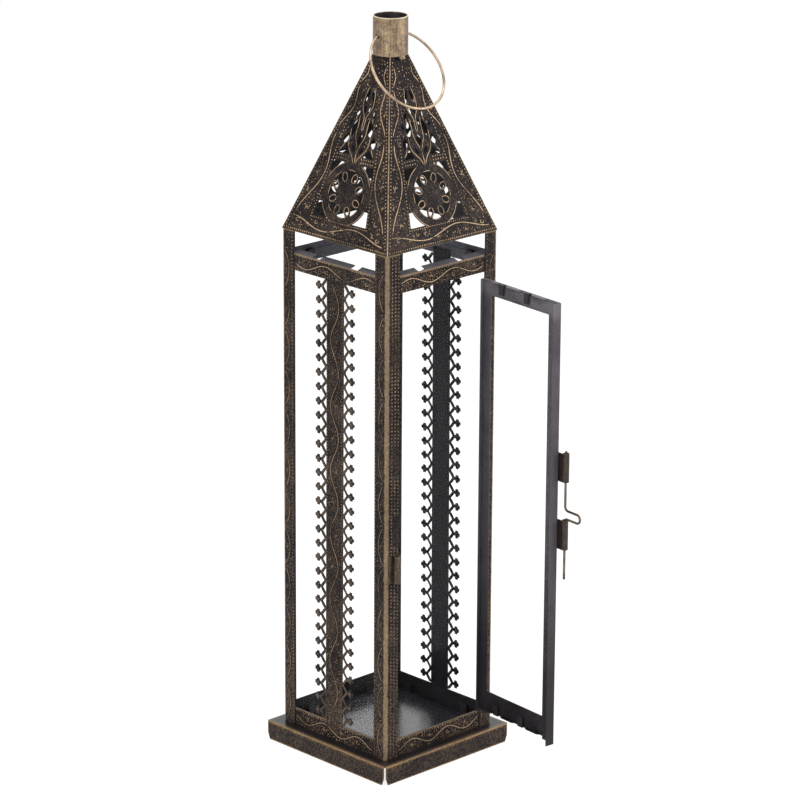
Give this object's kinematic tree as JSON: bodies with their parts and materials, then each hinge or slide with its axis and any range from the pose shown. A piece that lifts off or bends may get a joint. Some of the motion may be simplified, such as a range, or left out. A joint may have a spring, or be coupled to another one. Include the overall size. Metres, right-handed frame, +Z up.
{
  "type": "candle lantern",
  "caption": "Tall square candle lantern in pierced, embossed sheet metal with clear panes, a hinged door with a drop bolt, a pyramid roof and a hanging ring.",
  "frame": {"origin": "middle of the square that the base's lower edges stand on", "axes": "+Z up; the door is in the -Y side, hinged along that side's +X edge and shown open at 85 degrees"},
  "size_m": [0.12, 0.2119, 0.5175],
  "materials": {
    "bronze_sheet": "dark bronze patina, raised pattern rubbed back to brass",
    "rubbed_brass": "brushed antique brass",
    "dark_wire": "darkened drawn wire",
    "solder": "dull soft solder",
    "clear_glass": "clear window glass"
  },
  "bodies": {
    "lantern_body": {"base_pan": "bronze_sheet", "post_front_left": "bronze_sheet", "post_front_right": "bronze_sheet", "post_rear_right": "bronze_sheet", "post_rear_left": "bronze_sheet", "bottom_rail_front": "bronze_sheet", "bottom_rail_right": "bronze_sheet", "bottom_rail_rear": "bronze_sheet", "bottom_rail_left": "bronze_sheet", "top_rail_front": "bronze_sheet", "top_rail_right": "bronze_sheet", "top_rail_rear": "bronze_sheet", "top_rail_left": "bronze_sheet", "roof_panel_front": "bronze_sheet", "roof_panel_right": "bronze_sheet", "roof_panel_rear": "bronze_sheet", "roof_panel_left": "bronze_sheet", "fretted_strip_left": "bronze_sheet", "fretted_strip_right": "bronze_sheet", "glass_left": "clear_glass", "glass_right": "clear_glass", "glass_rear": "clear_glass", "glass_clips_left": "bronze_sheet", "glass_clips_right": "bronze_sheet", "glass_clips_rear": "bronze_sheet", "chimney_tube": "rubbed_brass", "tube_solder": "solder", "post_hinge_leaves": "bronze_sheet", "hinge_pins": "dark_wire", "latch_keeper": "bronze_sheet"},
    "door": {"door_hinge_stile": "bronze_sheet", "door_latch_stile": "bronze_sheet", "door_top_rail": "bronze_sheet", "door_bottom_rail": "bronze_sheet", "door_glass": "clear_glass", "door_glass_clips": "bronze_sheet", "door_hinge_leaves": "bronze_sheet", "latch_barrel_upper": "bronze_sheet", "latch_barrel_lower": "bronze_sheet"},
    "drop_bolt": {"latch_bolt": "dark_wire"},
    "hanging_ring": {"ring_handle": "rubbed_brass"}
  },
  "joints": [
    {"name": "door_hinge", "type": "hinge", "parent": "lantern_body", "child": "door", "pos_m": [0.0397, -0.0533, 0.1835], "axis": [0, 0, 1], "range_deg": [-85, 90]},
    {"name": "bolt_slide", "type": "slide", "parent": "door", "child": "drop_bolt", "axis": [0, 0, 1], "range_m": [0, 0.017]},
    {"name": "ring_swing", "type": "hinge", "parent": "lantern_body", "child": "hanging_ring", "pos_m": [0, 0, 0.5045], "axis": [-1, 0, 0], "range_deg": [-12, 297]}
  ]
}
